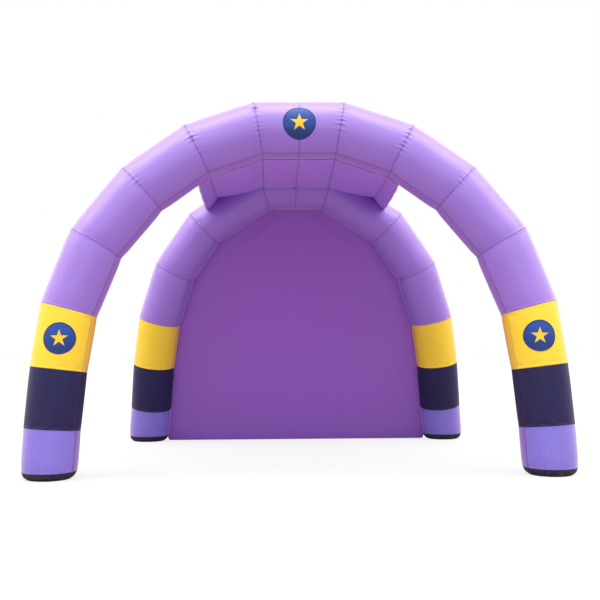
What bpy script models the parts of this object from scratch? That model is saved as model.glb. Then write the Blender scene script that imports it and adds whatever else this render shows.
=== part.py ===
"""Inflatable arch: a wide front arch and a narrower rear arch lean together under an air-filled roof.

Each arch is a bent row of air-filled lengths of cloth tube on a dark foot pad, and a flat back wall
hangs in the rear arch. Metres, +Z up: X runs across the doorway, the front faces -Y, and the feet
stand on z = 0 about the origin.
"""
import math
from collections import namedtuple

import bmesh
import bpy
from mathutils import Vector

# Driving sizes of the tubes
CROWN_HALF = 0.595
FEET_APART = 4.70
FRONT_LEAN = math.radians(3.0)
REAR_LEAN = math.radians(-12.0)
FOOT_RADIUS = 0.39

# Running gap that neighbours keep
GAP = 0.0003

# Cross-section of a tube: angles run from its front, by the doorway side, round to its back
STRIP_MIDDLE = math.radians(90.0)
STRIP_HALF = math.radians(22.0)
STRIP_STEPS = 4
ROUND_STEPS = 24
STRIP_FLAT = 0.035
SEAM_DRAW = 0.015
SEAM_REACH = math.radians(20.0)

# How a tube swells away from a cross seam
DRAW_REACH = 0.22
DRAW_STEP = 0.06

# Foot pads: height above the floor, and share of the tube's radius there
PadRing = namedtuple("PadRing", "height share")
PAD_RINGS = (
    PadRing(0.0, 0.77),
    PadRing(0.035, 0.89),
    PadRing(0.10, 0.968),
)
PAD_HEIGHT = PAD_RINGS[-1].height
PAD_DRAW = FOOT_RADIUS * (1.0 - PAD_RINGS[-1].share)

# Lengths of each leg from the floor up: slope in degrees from level, and at the seam above it the tube's
# radius and how far the seam is drawn in
Length = namedtuple("Length", "name colour size slope radius draw")
FRONT_LENGTHS = (
    Length("foot_band", "lilac", 0.68, 87.6, 0.394, 0.003),
    Length("navy_band", "navy", 0.83, 85.3, 0.401, 0.003),
    Length("yellow_band", "yellow", 0.85, 81.7, 0.409, 0.006),
    Length("panel_1", "lilac", 1.02, 69.0, 0.419, 0.012),
    Length("panel_2", "lilac", 1.02, 51.0, 0.427, 0.012),
    Length("panel_3", "lilac", 0.975, 35.7, 0.422, 0.012),
    Length("panel_4", "lilac", 0.94, 18.9, 0.418, 0.012),
)
FRONT_MIDDLE_RADIUS = 0.415
REAR_LENGTHS = (
    Length("foot_band", "lilac", 0.68, 84.5, 0.391, 0.003),
    Length("navy_band", "navy", 0.84, 84.8, 0.396, 0.003),
    Length("yellow_band", "yellow", 0.87, 81.5, 0.401, 0.006),
    Length("panel_1", "lilac", 1.01, 71.5, 0.401, 0.012),
    Length("panel_2", "lilac", 1.005, 54.9, 0.395, 0.012),
    Length("panel_3", "lilac", 1.33, 32.7, 0.390, 0.012),
)
REAR_MIDDLE_RADIUS = 0.390
MIDDLE_DRAW = 0.004

# Roof seams from the middle out: where the underside meets the rear arch, and how thick each end is
RoofSeam = namedtuple("RoofSeam", "name rear_x rear_z front_depth rear_depth")
ROOF_SEAMS = (
    RoofSeam("middle", 0.0, 4.78, 0.46, 0.27),
    RoofSeam("inner", 0.60, 4.77, 0.46, 0.27),
    RoofSeam("outer", 1.45, 4.61, 0.44, 0.03),
    RoofSeam("edge", 1.65, 4.38, 0.17, 0.08),
)
ROOF_EDGE_WIDTH = 0.22
EDGE_BULGE = 0.04
PANEL_STEPS = 3
SWELL_BELOW = 0.025
SWELL_ABOVE = 0.05

# Roof along its depth: how far the underside and the top leave the straight lines between the arches
RoofRing = namedtuple("RoofRing", "along below above")
ROOF_RINGS = (
    RoofRing(0.0, 0.10, 0.0),
    RoofRing(0.05, 0.0, 0.02),
    RoofRing(0.14, -0.025, 0.06),
    RoofRing(0.36, -0.04, 0.11),
    RoofRing(0.64, -0.04, 0.11),
    RoofRing(0.86, -0.025, 0.07),
    RoofRing(1.0, 0.0, 0.0),
)

# Back wall and badges
WALL_THICK = 0.003
BADGE_THICK = 0.002
CROWN_BADGE_RADIUS = 0.235
LEG_BADGE_RADIUS = 0.22
LEG_BADGE_TURN = math.radians(5.0)
BADGE_BAR = 0.38
BADGE_SIDES = 32

COLOURS = {
    "lilac": (0.36, 0.24, 0.72, 1.0),
    "navy": (0.025, 0.018, 0.085, 1.0),
    "yellow": (0.93, 0.60, 0.06, 1.0),
    "pad": (0.010, 0.008, 0.022, 1.0),
    "roof": (0.33, 0.20, 0.66, 1.0),
    "wall": (0.20, 0.075, 0.37, 1.0),
    "badge": (0.03, 0.08, 0.35, 1.0),
}
ROUGHNESS = 0.55


def mix(start, end, share):
    """Value a share of the way from start to end."""
    return start + (end - start) * share


def section_share(angle):
    """Share of the tube's radius at an angle of its cross-section, less along the soffit strip."""
    off = abs(angle - STRIP_MIDDLE)
    if off <= STRIP_HALF:
        return 1.0 - STRIP_FLAT + (STRIP_FLAT - SEAM_DRAW) * (off / STRIP_HALF) ** 2
    return 1.0 - SEAM_DRAW * max(0.0, 1.0 - (off - STRIP_HALF) / SEAM_REACH) ** 2


def section_angles():
    """Angles of one ring: across the soffit strip, then round the rest of the tube."""
    start = STRIP_MIDDLE - STRIP_HALF
    strip = [start + 2 * STRIP_HALF * k / STRIP_STEPS for k in range(STRIP_STEPS)]
    rest = 2 * math.pi - 2 * STRIP_HALF
    start = STRIP_MIDDLE + STRIP_HALF
    return strip + [start + rest * k / ROUND_STEPS - 2 * math.pi * (k * 2 >= ROUND_STEPS)
                    for k in range(ROUND_STEPS)]


class Arch:
    """A leaning row of straight tube lengths, worked out from its table and mirrored about x = 0."""

    def __init__(self, name, lengths, lean, middle_radius):
        self.name = name
        self.lengths = lengths
        self.up = Vector((0.0, math.sin(lean), math.cos(lean)))
        self.front = Vector((0.0, -math.cos(lean), math.sin(lean)))
        self.lean = lean
        self.feet_y = 0.0
        self.stations = self.find_stations()
        side = [FOOT_RADIUS] + [row.radius for row in lengths]
        self.radii = side + [middle_radius] + side[::-1]
        self.draws = self.find_draws()

    def find_stations(self):
        """Points of the bent centre line in the arch's own plane, from the left foot to the right."""
        across, down = CROWN_HALF, 0.0
        right = [(across, down)]
        for row in reversed(self.lengths):
            across += row.size * math.cos(math.radians(row.slope))
            down += row.size * math.sin(math.radians(row.slope))
            right.append((across, down))
        right = [(x, down - y) for x, y in right]
        left = [(-x, y) for x, y in reversed(right)]
        points = left + [(0.0, down)] + right
        return [Vector(point) for point in points]

    def find_draws(self):
        """How far each station's seam is drawn in, from the left foot to the right."""
        side = [PAD_DRAW] + [row.draw for row in self.lengths]
        return side + [MIDDLE_DRAW] + side[::-1]

    def length_names(self):
        """Name and colour of each length, from the left foot to the right."""
        rows = [(row.name, row.colour) for row in self.lengths] + [("crown", "lilac")]
        left = [(f"{self.name}_left_{name}", colour) for name, colour in rows]
        right = [(f"{self.name}_right_{name}", colour) for name, colour in reversed(rows)]
        return left + right

    def direction(self, index):
        """Unit direction of a length, and the direction in to the doorway, in the arch's plane."""
        run = (self.stations[index + 1] - self.stations[index]).normalized()
        return run, Vector((run.y, -run.x))

    def half_turn(self, index):
        """Tangent of half the bend at a station, and none at the feet."""
        if index in (0, len(self.stations) - 1):
            return 0.0
        before, _ = self.direction(index - 1)
        after, _ = self.direction(index)
        return math.tan(before.angle_signed(after) / 2)

    def world(self, across, rise, forward=0.0):
        """World point from the arch's plane, and a distance in front of it."""
        return Vector((across, self.feet_y, 0.0)) + self.up * rise + self.front * forward

    def plane_y(self, height):
        """World y of the arch's plane at a height."""
        return self.feet_y + height * math.tan(self.lean)

    def floor_run(self, index, station, forward, inward, height):
        """Distance along a length from its station to a level plane, for a point beside its axis."""
        run, side = self.direction(index)
        level = (height - self.front.z * forward) / self.up.z
        return (level - self.stations[station].y - side.y * inward) / run.y

    def ends(self, index, forward, inward, gap, floor):
        """Where a length starts and stops, for a point beside its axis."""
        size = (self.stations[index + 1] - self.stations[index]).length
        start = inward * self.half_turn(index) + gap / 2
        stop = size - inward * self.half_turn(index + 1) - gap / 2
        if index == 0:
            start = self.floor_run(index, index, forward, inward, floor)
        if index == len(self.stations) - 2:
            stop = size + self.floor_run(index, index + 1, forward, inward, floor)
        return start, stop

    def radius(self, index, along):
        """Radius of a length at a distance along its axis, drawn in near both seams."""
        size = (self.stations[index + 1] - self.stations[index]).length
        near = max(0.0, 1.0 - along / DRAW_REACH) ** 2 * self.draws[index]
        far = max(0.0, 1.0 - (size - along) / DRAW_REACH) ** 2 * self.draws[index + 1]
        return mix(self.radii[index], self.radii[index + 1], along / size) - near - far

    def plane_point(self, index, along, angle, grow=0.0, gap=GAP, floor=PAD_HEIGHT + GAP):
        """Point on a length's surface in the arch's plane, with its distance in front of it."""
        size = (self.stations[index + 1] - self.stations[index]).length
        radius = self.radius(index, along) * section_share(angle) + grow
        forward, inward = radius * math.cos(angle), radius * math.sin(angle)
        start, stop = self.ends(index, forward, inward, gap, floor)
        run, side = self.direction(index)
        spot = self.stations[index] + run * mix(start, stop, along / size) + side * inward
        return spot.x, spot.y, forward

    def steps(self, index):
        """Distances along a length at which it has a ring."""
        size = (self.stations[index + 1] - self.stations[index]).length
        near = [0.0, DRAW_STEP, DRAW_REACH]
        return near + [size - step for step in reversed(near)]

    def length_rings(self, index, **options):
        """Rings of one length in the world."""
        return [[self.world(*self.plane_point(index, along, angle, **options)) for angle in section_angles()]
                for along in self.steps(index)]

    def shell_rings(self, grow):
        """Rings of the whole arch as one tube, grown all round by a distance."""
        rings = []
        for index in range(len(self.stations) - 1):
            rings += self.length_rings(index, grow=grow, gap=0.0)[bool(rings):]
        return rings

    def pad_rings(self, right):
        """Rings of a foot pad from the floor up."""
        index = len(self.stations) - 2 if right else 0
        station = len(self.stations) - 1 if right else 0
        run, side = self.direction(index)
        rings = []
        for row in PAD_RINGS:
            ring = []
            for angle in section_angles():
                radius = FOOT_RADIUS * row.share * section_share(angle)
                forward, inward = radius * math.cos(angle), radius * math.sin(angle)
                travel = self.floor_run(index, station, forward, inward, row.height)
                spot = self.stations[station] + run * travel + side * inward
                ring.append(self.world(spot.x, spot.y, forward))
            rings.append(ring)
        return rings

    def inner_line(self):
        """The middle of the soffit strip in the arch's plane, moved in by the gap, foot to foot."""
        line = [self.pad_spot(height) for height in (0.0, PAD_HEIGHT)]
        for index in range(len(self.stations) // 2):
            for along in self.steps(index)[1:]:
                across, rise, _ = self.plane_point(index, along, STRIP_MIDDLE, grow=GAP, gap=0.0)
                line.append((across, rise))
        mirrored = [(-across, rise) for across, rise in reversed(line[:-1])]
        return line + mirrored

    def pad_spot(self, height):
        """Point at a height, a gap in from the line of the left pad's widest ring."""
        run, side = self.direction(0)
        inward = FOOT_RADIUS * PAD_RINGS[-1].share * section_share(STRIP_MIDDLE) + GAP
        spot = self.stations[0] + run * self.floor_run(0, 0, 0.0, inward, height) + side * inward
        return spot.x, spot.y


def make_material(name, colour):
    """Cloth material of one colour."""
    material = bpy.data.materials.new(name)
    material.use_nodes = True
    shader = material.node_tree.nodes["Principled BSDF"]
    shader.inputs["Base Color"].default_value = COLOURS[colour]
    shader.inputs["Roughness"].default_value = ROUGHNESS
    shader.inputs["Metallic"].default_value = 0.0
    return material


def add_object(name, shape, colour):
    """Object with its own mesh and material, from an edited mesh that is closed."""
    bmesh.ops.recalc_face_normals(shape, faces=shape.faces)
    mesh = bpy.data.meshes.new(name)
    shape.to_mesh(mesh)
    shape.free()
    item = bpy.data.objects.new(name, mesh)
    bpy.context.collection.objects.link(item)
    mesh.materials.append(make_material(name, colour))
    return item


def loft(rings):
    """Closed shape through rings of as many points each, with flat ends."""
    shape = bmesh.new()
    rows = [[shape.verts.new(point) for point in ring] for ring in rings]
    count = len(rows[0])
    for low, high in zip(rows, rows[1:]):
        for k in range(count):
            nearby = (k + 1) % count
            shape.faces.new((low[k], low[nearby], high[nearby], high[k]))
    shape.faces.new(rows[0])
    shape.faces.new(rows[-1])
    return shape


def add_cutter(name, shape):
    """Guide shape that cuts others and isn't part of the model."""
    item = add_object(name, shape, "pad")
    item.hide_render = True
    item.display_type = "WIRE"
    return item


def cut(item, cutter, operation="DIFFERENCE"):
    """Cut an object by a guide, or keep only what lies in the guide."""
    step = item.modifiers.new(cutter.name, "BOOLEAN")
    step.operation = operation
    step.object = cutter


def centre_depth(front, rear):
    """Stand the arches apart along Y with the whole depth centred on the origin."""
    rear.feet_y = FEET_APART
    solids = [arch.pad_rings(False) + arch.length_rings(0) for arch in (front, rear)]
    depths = [point.y for rings in solids for ring in rings for point in ring]
    middle = (min(depths) + max(depths)) / 2
    front.feet_y -= middle
    rear.feet_y -= middle


def build_arch(arch):
    """Foot pads and tube lengths of an arch."""
    for side, right in (("left", False), ("right", True)):
        add_object(f"{arch.name}_{side}_foot_pad", loft(arch.pad_rings(right)), "pad")
    for index, (name, colour) in enumerate(arch.length_names()):
        add_object(name, loft(arch.length_rings(index)), colour)


def roof_lines(front, rear):
    """Each roof seam from the middle out: its place, and its underside's and top's two ends."""
    crown = len(front.stations) // 2
    seam_angle = STRIP_MIDDLE + STRIP_HALF
    spots = [(crown, 0.0), (crown + 1, 0.0), (crown + 2, 0.0), (crown + 2, ROOF_EDGE_WIDTH)]
    lines = []
    for (index, along), seam in zip(spots, ROOF_SEAMS):
        spot = front.world(*front.plane_point(index, along, seam_angle, gap=0.0))
        lines.append({
            "name": seam.name,
            "x": (spot.x, seam.rear_x),
            "y": (spot.y, rear.plane_y(seam.rear_z)),
            "low": (spot.z, seam.rear_z),
            "high": (spot.z + seam.front_depth, seam.rear_z + seam.rear_depth),
        })
    return lines


def seam_across(line, depth):
    """Distance of a roof seam from the middle at a depth."""
    front_y, rear_y = line["y"]
    return mix(*line["x"], (depth - front_y) / (rear_y - front_y))


def panel_heights(inner, outer, row, share, edge):
    """Underside and top of a roof panel at a share of its width."""
    swell = 4 * share * (1 - share)
    low = mix(mix(*inner["low"], row.along), mix(*outer["low"], row.along), share)
    high = mix(mix(*inner["high"], row.along), mix(*outer["high"], row.along), share)
    crown = mix(row.above, row.below, share) if edge else row.above
    return low + row.below - SWELL_BELOW * swell, high + crown + SWELL_ABOVE * swell


def panel_ring(front, rear, inner, outer, row, edge):
    """Points of a right-hand roof panel's ring, underside outwards and top back in."""

    def point(share, height, outward=0.0):
        depth = mix(front.plane_y(height), rear.plane_y(height), row.along)
        start = seam_across(inner, depth) + GAP / 2
        stop = seam_across(outer, depth) - GAP / 2
        return Vector((mix(start, stop, share) + outward, depth, height))

    shares = [k / PANEL_STEPS for k in range(PANEL_STEPS + 1)]
    heights = [panel_heights(inner, outer, row, share, edge) for share in shares]
    below = [point(share, low) for share, (low, _) in zip(shares, heights)]
    above = [point(share, high) for share, (_, high) in zip(shares, heights)]
    side = [point(1.0, sum(heights[-1]) / 2, EDGE_BULGE)] if edge else []
    return below + side + above[::-1]


def build_roof(front, rear, cutters):
    """Roof panels between the arches, each cut back to a gap by both tubes."""
    lines = roof_lines(front, rear)
    for inner, outer in zip(lines, lines[1:]):
        name = outer["name"]
        rings = [panel_ring(front, rear, inner, outer, row, outer is lines[-1]) for row in ROOF_RINGS]
        for side, sign in (("left", -1), ("right", 1)):
            placed = [[Vector((sign * spot.x, spot.y, spot.z)) for spot in ring] for ring in rings]
            panel = add_object(f"roof_{side}_{name}", loft(placed), "roof")
            for cutter in cutters:
                cut(panel, cutter)


def build_wall(rear):
    """Flat back wall that fills the rear arch from the floor to its soffit."""
    line = rear.inner_line()
    rings = []
    for forward in (-WALL_THICK / 2, WALL_THICK / 2):
        ring = [rear.world(across, rise, forward) for across, rise in line]
        floor_rise = -rear.front.z * forward / rear.up.z
        for end in (0, -1):
            ring[end] = rear.world(line[end][0], floor_rise, forward)
        rings.append(ring)
    add_object("back_wall", loft(rings), "wall")


def build_badge(arch, name, radius, spot, angle, side, cutters):
    """Round cloth badge that follows the tube, from a short bar cut by the tube's grown shells."""
    outer_shell, inner_shell = cutters
    facing = arch.front * math.cos(angle) + Vector((side.x, 0.0, 0.0)) * math.sin(angle)
    facing += arch.up * side.y * math.sin(angle)
    centre = arch.world(spot.x, spot.y) + facing * FRONT_MIDDLE_RADIUS
    shape = bmesh.new()
    bmesh.ops.create_cone(shape, cap_ends=True, segments=BADGE_SIDES, radius1=radius, radius2=radius,
                          depth=BADGE_BAR)
    turn = Vector((0.0, 0.0, 1.0)).rotation_difference(facing).to_matrix().to_4x4()
    turn.translation = centre
    bmesh.ops.transform(shape, matrix=turn, verts=shape.verts)
    badge = add_object(name, shape, "badge")
    cut(badge, outer_shell, "INTERSECT")
    cut(badge, inner_shell)


def build_badges(front, cutters):
    """Badge on the crown and one on each front leg's yellow band."""
    names = [name for name, _ in front.length_names()]
    middle = front.stations[len(front.stations) // 2]
    build_badge(front, "badge_crown", CROWN_BADGE_RADIUS, middle, 0.0, Vector((0.0, -1.0)), cutters)
    for side in ("left", "right"):
        index = names.index(f"front_{side}_yellow_band")
        spot = (front.stations[index] + front.stations[index + 1]) / 2
        _, inward = front.direction(index)
        build_badge(front, f"badge_{side}", LEG_BADGE_RADIUS, spot, LEG_BADGE_TURN, inward, cutters)


def clear_scene():
    """Remove what the start-up file holds."""
    for item in list(bpy.data.objects):
        bpy.data.objects.remove(item)


def main():
    """Build the whole object."""
    clear_scene()
    front = Arch("front", FRONT_LENGTHS, FRONT_LEAN, FRONT_MIDDLE_RADIUS)
    rear = Arch("rear", REAR_LENGTHS, REAR_LEAN, REAR_MIDDLE_RADIUS)
    centre_depth(front, rear)
    build_arch(front)
    build_arch(rear)
    front_shell = add_cutter("front_shell", loft(front.shell_rings(GAP)))
    rear_shell = add_cutter("rear_shell", loft(rear.shell_rings(GAP)))
    badge_shell = add_cutter("badge_shell", loft(front.shell_rings(GAP + BADGE_THICK)))
    build_roof(front, rear, (front_shell, rear_shell))
    build_wall(rear)
    build_badges(front, (badge_shell, front_shell))


main()
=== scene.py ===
"""Dresses the inflatable arch with its air-filled cloth, and stands it in a plain studio.

Lengths of tube, foot pads, roof panels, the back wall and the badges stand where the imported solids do.
Metres, +Z up: X runs across the doorway, the front faces -Y, and the feet stand on z = 0.
"""
import logging
import math
import random
from dataclasses import dataclass, field
from enum import Enum

import bpy
import numpy as np
from mathutils import Matrix, Vector
from mathutils.bvhtree import BVHTree


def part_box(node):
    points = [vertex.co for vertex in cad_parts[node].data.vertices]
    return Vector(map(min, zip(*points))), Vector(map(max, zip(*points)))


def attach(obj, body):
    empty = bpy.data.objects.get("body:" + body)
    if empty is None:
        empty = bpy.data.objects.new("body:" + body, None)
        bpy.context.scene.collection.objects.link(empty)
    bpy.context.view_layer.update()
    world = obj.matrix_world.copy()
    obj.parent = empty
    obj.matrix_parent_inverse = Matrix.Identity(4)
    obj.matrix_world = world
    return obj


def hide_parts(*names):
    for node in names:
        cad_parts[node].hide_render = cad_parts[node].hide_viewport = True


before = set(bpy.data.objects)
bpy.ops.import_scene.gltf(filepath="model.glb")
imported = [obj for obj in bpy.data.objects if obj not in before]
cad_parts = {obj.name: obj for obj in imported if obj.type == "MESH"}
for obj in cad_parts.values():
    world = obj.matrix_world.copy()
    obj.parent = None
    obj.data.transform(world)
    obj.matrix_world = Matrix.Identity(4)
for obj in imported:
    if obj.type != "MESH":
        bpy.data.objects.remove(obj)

LOG = logging.getLogger("inflatable_arch")
GAP = 0.0003
FOOT_RADIUS = 0.39
TUBE_SWELL = 0.0038


# Shader node groups and cloth finishes


class Nodes:
    """Adds nodes to one node tree and joins them."""

    def __init__(self, tree: bpy.types.NodeTree) -> None:
        """Keep the tree that the nodes go into."""
        self.tree = tree

    def add(self, kind: str, inputs: dict | None = None, **settings: object) -> bpy.types.Node:
        """Add a node.

        Args:
            kind: The node's type.
            inputs: Values or sockets for its inputs, by name or place.
            settings: The node's own settings.

        Returns:
            The new node.
        """
        node = self.tree.nodes.new(kind)
        for key, value in settings.items():
            setattr(node, key, value)
        for key, value in (inputs or {}).items():
            if isinstance(value, bpy.types.NodeSocket):
                self.tree.links.new(value, node.inputs[key])
            else:
                node.inputs[key].default_value = value
        return node

    def math(self, operation: str, *values: object) -> bpy.types.NodeSocket:
        """Result of a sum on one, two or three values."""
        return self.add("ShaderNodeMath", dict(enumerate(values)), operation=operation).outputs[0]

    def ramp(self, value: object, low: float, high: float, start: float = 0.0, end: float = 1.0) -> bpy.types.NodeSocket:
        """Smooth step of a value.

        Args:
            value: The socket that drives it.
            low: Value at which the step starts.
            high: Value at which it ends.
            start: Result at the step's start.
            end: Result at its end.

        Returns:
            The stepped value.
        """
        ends = {"Value": value, "From Min": low, "From Max": high, "To Min": start, "To Max": end}
        return self.add("ShaderNodeMapRange", ends, interpolation_type="SMOOTHSTEP").outputs["Result"]

    def blend(self, share: object, first: object, second: object) -> bpy.types.NodeSocket:
        """Colour a share of the way from the first to the second."""
        colours = {"Factor": share, "A": first, "B": second}
        node = self.add("ShaderNodeMix", data_type="RGBA")
        for key, value in colours.items():
            socket = next(s for s in node.inputs if s.name == key and (s.type == "RGBA") == (key != "Factor"))
            if isinstance(value, bpy.types.NodeSocket):
                self.tree.links.new(value, socket)
            else:
                socket.default_value = value
        return next(s for s in node.outputs if s.type == "RGBA")

    def attribute(self, name: str) -> bpy.types.NodeSocket:
        """A number that the mesh carries at each point."""
        return self.add("ShaderNodeAttribute", attribute_name=name).outputs["Fac"]

    def group(self, tree: bpy.types.NodeTree, **inputs: object) -> bpy.types.Node:
        """Place a node group with its own values, where an underscore in a name stands for a space."""
        node = self.tree.nodes.new("ShaderNodeGroup")
        node.node_tree = tree
        for key, value in inputs.items():
            socket = node.inputs[key.replace("_", " ")]
            if isinstance(value, bpy.types.NodeSocket):
                self.tree.links.new(value, socket)
            else:
                socket.default_value = value
        return node


def new_group(name: str, inputs: tuple[str, ...], outputs: tuple[str, ...]) -> tuple[Nodes, bpy.types.Node, bpy.types.Node]:
    """Start a shader node group with plain number sockets.

    Args:
        name: The group's name.
        inputs: Names of its inputs.
        outputs: Names of its outputs.

    Returns:
        Its nodes, its input node and its output node.
    """
    tree = bpy.data.node_groups.new(name, "ShaderNodeTree")
    for title in inputs:
        kind = "NodeSocketVector" if title == "Place" else "NodeSocketFloat"
        tree.interface.new_socket(title, in_out="INPUT", socket_type=kind)
    for title in outputs:
        tree.interface.new_socket(title, in_out="OUTPUT", socket_type="NodeSocketFloat")
    nodes = Nodes(tree)
    return nodes, nodes.add("NodeGroupInput"), nodes.add("NodeGroupOutput")


def weave_group() -> bpy.types.NodeTree:
    """Threads that cross over and under.

    Returns:
        Group with the inputs Across, Along and Pitch in metres, and the output Height.
    """
    nodes, given, result = new_group("plain_weave", ("Across", "Along", "Pitch"), ("Height",))
    waves = []
    for way in ("Across", "Along"):
        turns = nodes.math("DIVIDE", given.outputs[way], given.outputs["Pitch"])
        waves.append(nodes.math("SINE", nodes.math("MULTIPLY", turns, math.pi)))
    crossing = nodes.math("MULTIPLY", waves[0], waves[1])
    rounds = nodes.math("ADD", *(nodes.math("ABSOLUTE", wave) for wave in waves))
    height = nodes.math("MULTIPLY_ADD", crossing, 0.35, nodes.math("MULTIPLY", rounds, 0.3))
    nodes.tree.links.new(height, result.inputs["Height"])
    return nodes.tree


def seam_group() -> bpy.types.NodeTree:
    """A sewn seam's crease and its row of stitches.

    Returns:
        Group with the inputs Off Seam, Along Seam, Crease Width and Row Place in metres, and the outputs
        Crease and Stitch.
    """
    inputs = ("Off Seam", "Along Seam", "Crease Width", "Row Place")
    nodes, given, result = new_group("sewn_seam", inputs, ("Crease", "Stitch"))
    near = nodes.math("DIVIDE", given.outputs["Off Seam"], given.outputs["Crease Width"])
    crease = nodes.ramp(near, 0.0, 1.0, 1.0, 0.0)
    off_row = nodes.math("ABSOLUTE", nodes.math("SUBTRACT", given.outputs["Off Seam"], given.outputs["Row Place"]))
    row = nodes.ramp(off_row, 0.0008, 0.0022, 1.0, 0.0)
    turn = nodes.math("FRACT", nodes.math("DIVIDE", given.outputs["Along Seam"], 0.009))
    off_stitch = nodes.math("ABSOLUTE", nodes.math("SUBTRACT", turn, 0.5))
    stitch = nodes.math("MULTIPLY", row, nodes.ramp(off_stitch, 0.28, 0.36, 1.0, 0.0))
    nodes.tree.links.new(crease, result.inputs["Crease"])
    nodes.tree.links.new(stitch, result.inputs["Stitch"])
    return nodes.tree


def use_group() -> bpy.types.NodeTree:
    """How cloth that has stood outdoors varies: broad mottling, fine mottling and dust near the ground.

    Returns:
        Group with the inputs Place and Height in metres, and the outputs Broad, Fine and Dust.
    """
    nodes, given, result = new_group("use_of_cloth", ("Place", "Height"), ("Broad", "Fine", "Dust"))
    place = given.outputs["Place"]
    broad = nodes.add("ShaderNodeTexNoise", {"Vector": place, "Scale": 1.3, "Detail": 3.0, "Roughness": 0.5})
    fine = nodes.add("ShaderNodeTexNoise", {"Vector": place, "Scale": 21.0, "Detail": 4.0, "Roughness": 0.65})
    low = nodes.ramp(given.outputs["Height"], 0.05, 0.75, 1.0, 0.0)
    dust = nodes.math("MULTIPLY", low, nodes.ramp(fine.outputs["Fac"], 0.42, 0.68))
    for value, title in ((broad.outputs["Fac"], "Broad"), (fine.outputs["Fac"], "Fine"), (dust, "Dust")):
        nodes.tree.links.new(value, result.inputs[title])
    return nodes.tree


@dataclass
class Groups:
    """The shared node groups, built once."""

    weave: bpy.types.NodeTree = field(default_factory=weave_group)
    seam: bpy.types.NodeTree = field(default_factory=seam_group)
    use: bpy.types.NodeTree = field(default_factory=use_group)


@dataclass(frozen=True)
class ClothFinish:
    """Coated cloth of one colour with its weave, seams, stitching and wear, and painted shade in the seams' creases and
    on the soffit strip.
    """

    name: str
    colour: tuple[float, float, float]
    # Darker tone: used for the broad mottling, and as painted shade in the seams' creases and on a badge's lower part.
    mottle_and_painted_shade: tuple[float, float, float]
    # Painted shade: colour of the soffit strip along the tube's underside, darker and more magenta than the cloth.
    strip: tuple[float, float, float]
    thread: tuple[float, float, float]
    roughness: float = 0.46
    sheen: float = 0.6
    sheen_tint: tuple[float, float, float] = (1.0, 0.86, 0.95)
    coat: float = 0.9
    shine: float = 0.5
    pitch: float = 0.0016
    weave: float = 0.16
    mottle: float = 0.10
    dust: float = 0.12

    def material(self, groups: Groups) -> bpy.types.Material:
        """Build the finish.

        Args:
            groups: The shared node groups.

        Returns:
            A material that reads the piece's own UV map and attributes.
        """
        material = bpy.data.materials.new(self.name)
        material.use_nodes = True
        nodes = Nodes(material.node_tree)
        shader = material.node_tree.nodes["Principled BSDF"]
        for title, value in self.sockets().items():
            shader.inputs[title].default_value = value
        place = nodes.add("ShaderNodeTexCoord").outputs["Object"]
        height = nodes.add("ShaderNodeSeparateXYZ", {"Vector": place}).outputs["Z"]
        cloth = nodes.add("ShaderNodeSeparateXYZ", {"Vector": nodes.add("ShaderNodeUVMap", uv_map="cloth").outputs[0]})
        across, along = cloth.outputs["X"], cloth.outputs["Y"]
        use = nodes.group(groups.use, Place=place, Height=height)
        weave = nodes.group(groups.weave, Across=across, Along=along, Pitch=self.pitch)
        ring = nodes.group(groups.seam, Off_Seam=nodes.attribute("off_ring_seam"), Along_Seam=across,
                           Crease_Width=0.016, Row_Place=0.018)
        run = nodes.group(groups.seam, Off_Seam=nodes.attribute("off_long_seam"), Along_Seam=along,
                          Crease_Width=0.020, Row_Place=0.022)
        crease = nodes.math("MAXIMUM", ring.outputs["Crease"], run.outputs["Crease"])
        stitch = nodes.math("MAXIMUM", ring.outputs["Stitch"], run.outputs["Stitch"])
        colour = self.colours(nodes, use, crease, stitch)
        material.node_tree.links.new(colour, shader.inputs["Base Color"])
        coat = nodes.ramp(crease, 0.0, 1.0, self.coat, self.coat * 0.3)
        material.node_tree.links.new(coat, shader.inputs["Coat Weight"])
        rough = nodes.ramp(use.outputs["Fine"], 0.3, 0.7, self.roughness - 0.05, self.roughness + 0.06)
        rough = nodes.math("MULTIPLY_ADD", use.outputs["Dust"], 0.2, rough)
        material.node_tree.links.new(rough, shader.inputs["Roughness"])
        relief = nodes.math("MULTIPLY_ADD", weave.outputs["Height"], self.weave, nodes.math("MULTIPLY", stitch, 1.4))
        relief = nodes.math("MULTIPLY_ADD", use.outputs["Broad"], 1.2, relief)
        bump = nodes.add("ShaderNodeBump", {"Height": relief, "Strength": 0.5, "Distance": 0.0009})
        material.node_tree.links.new(bump.outputs["Normal"], shader.inputs["Normal"])
        return material

    def sockets(self) -> dict[str, object]:
        """The shader's values that are the same all over."""
        return {"Sheen Weight": self.sheen, "Sheen Roughness": 0.4, "Sheen Tint": (*self.sheen_tint, 1.0),
                "Coat Roughness": 0.38, "Specular IOR Level": self.shine}

    def colours(self, nodes: Nodes, use: bpy.types.Node, crease: object, stitch: object) -> bpy.types.NodeSocket:
        """Layer the cloth's colours, with painted shade on the soffit strip and in the seams' creases.

        Args:
            nodes: The material's nodes.
            use: The placed group that says how the cloth varies.
            crease: Share of the seams' crease, whose colour is darkened as painted shade with some dirt.
            stitch: Share of the thread.

        Returns:
            The colour socket.
        """
        broad = nodes.ramp(use.outputs["Broad"], 0.3, 0.7, 0.0, self.mottle)
        colour = nodes.blend(broad, (*self.colour, 1.0), (*self.mottle_and_painted_shade, 1.0))
        # Painted shade: the soffit strip along the tube's underside takes the darker, more magenta strip colour.
        colour = nodes.blend(nodes.attribute("soffit"), colour, (*self.strip, 1.0))
        colour = nodes.blend(nodes.math("MULTIPLY", use.outputs["Dust"], self.dust), colour, (0.55, 0.50, 0.46, 1.0))
        # Painted shade with some dirt: the seams' creases are darkened towards the darker tone.
        colour = nodes.blend(nodes.math("MULTIPLY", crease, 0.75), colour, (*self.mottle_and_painted_shade, 1.0))
        return nodes.blend(nodes.math("MULTIPLY", stitch, 0.8), colour, (*self.thread, 1.0))


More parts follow.
